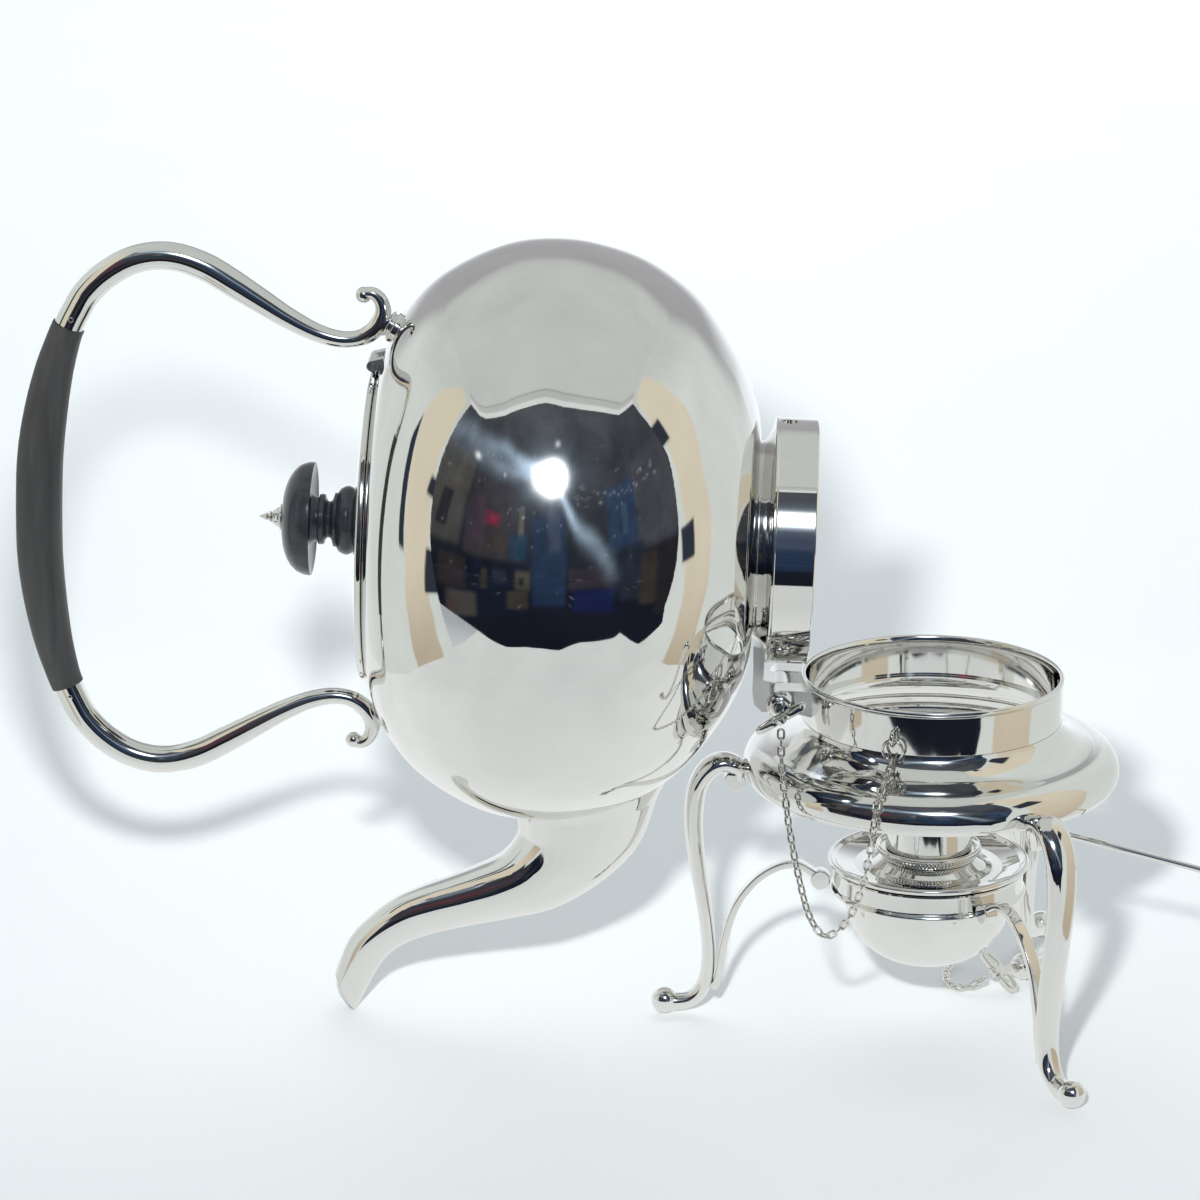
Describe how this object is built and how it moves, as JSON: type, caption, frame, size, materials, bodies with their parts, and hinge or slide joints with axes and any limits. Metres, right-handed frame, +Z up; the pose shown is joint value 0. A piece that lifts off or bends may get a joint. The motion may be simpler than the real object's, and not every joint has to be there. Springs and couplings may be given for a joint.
{
  "type": "spirit kettle on stand",
  "caption": "Squat round kettle with a swan-neck spout, loop handle and hinged lid, tipped on the hinge pin of a three-legged stand with a spirit burner.",
  "frame": {"origin": "on the table plane under the axis of the stand's collar", "axes": "+Z up; -X from the stand towards the spout and the hinge; the hinge axis runs along Y; the kettle is stored tipped forward with its spout tip on the table"},
  "size_m": [0.3936, 0.17, 0.2362],
  "materials": {
    "silver_plate": "mirror-polished silver plate",
    "silver_body": "mirror-polished silver plate with fine wear",
    "ebony": "satin ebony",
    "cotton_wick": "braided cotton"
  },
  "bodies": {
    "stand": {"stand_collar": "silver_plate", "stand_platform": "silver_plate", "leg_front": "silver_plate", "leg_camera_side": "silver_plate", "leg_far_side": "silver_plate", "brace_front": "silver_plate", "brace_camera_side": "silver_plate", "brace_far_side": "silver_plate", "burner_ring": "silver_plate", "stand_hinge_lugs": "silver_plate", "chain_eyelet_near": "silver_plate", "chain_eyelet_far": "silver_plate", "jump_ring_near": "silver_plate", "jump_ring_far": "silver_plate", "hinge_pin_chain": "silver_plate", "lock_pin_chain": "silver_plate"},
    "kettle": {"kettle_body": "silver_body", "kettle_base_ring": "silver_plate", "kettle_hinge_lug": "silver_plate", "spout": "silver_plate", "handle_arm_rear": "silver_plate", "handle_arm_front": "silver_plate", "handle_ferrule_rear": "silver_plate", "handle_ferrule_front": "silver_plate", "handle_grip": "ebony", "grip_pin_rear": "silver_plate", "grip_pin_front": "silver_plate", "lid_hinge_knuckles": "silver_plate", "lid_hinge_pin": "silver_plate"},
    "lid_assembly": {"lid": "silver_plate", "lid_bezel": "silver_plate", "lid_hinge_leaf": "silver_plate", "knob": "ebony", "knob_stud": "silver_plate", "knob_finial": "silver_plate", "knob_nut": "silver_plate"},
    "front_pin": {"hinge_pin": "silver_plate", "hinge_pin_thumbpiece": "silver_plate"},
    "rear_pin": {"lock_pin": "silver_plate", "lock_pin_thumbpiece": "silver_plate"},
    "burner": {"burner_bowl": "silver_plate", "burner_pan": "silver_plate", "wick_holder": "silver_plate", "wick": "cotton_wick"},
    "snuffer": {"snuffer_cap": "silver_plate", "snuffer_socket": "silver_plate", "snuffer_rod": "silver_plate", "snuffer_rod_ring": "silver_plate"}
  },
  "joints": [
    {"name": "kettle_tilt", "type": "hinge", "parent": "stand", "child": "kettle", "pos_m": [-0.0448, 0, 0.1037], "axis": [0, 1, 0], "range_deg": [0, 87.8]},
    {"name": "lid_hinge", "type": "hinge", "parent": "kettle", "child": "lid_assembly", "pos_m": [-0.16354, 0, 0.20133], "axis": [0, 1, 0], "range_deg": [0, 60]},
    {"name": "front_pin_pull", "type": "slide", "parent": "stand", "child": "front_pin", "axis": [0, -1, 0], "range_m": [0, 0.03], "deforming": ["hinge_pin_chain"]},
    {"name": "rear_pin_pick_up", "type": "slide", "parent": "stand", "child": "rear_pin", "axis": [0, 0, 1], "range_m": [0, 0.012], "deforming": ["lock_pin_chain"]},
    {"name": "burner_lift", "type": "slide", "parent": "stand", "child": "burner", "axis": [0, 0, 1], "range_m": [0, 0.006]},
    {"name": "snuffer_lift", "type": "slide", "parent": "burner", "child": "snuffer", "axis": [0, 0, 1], "range_m": [0, 0.006]}
  ]
}
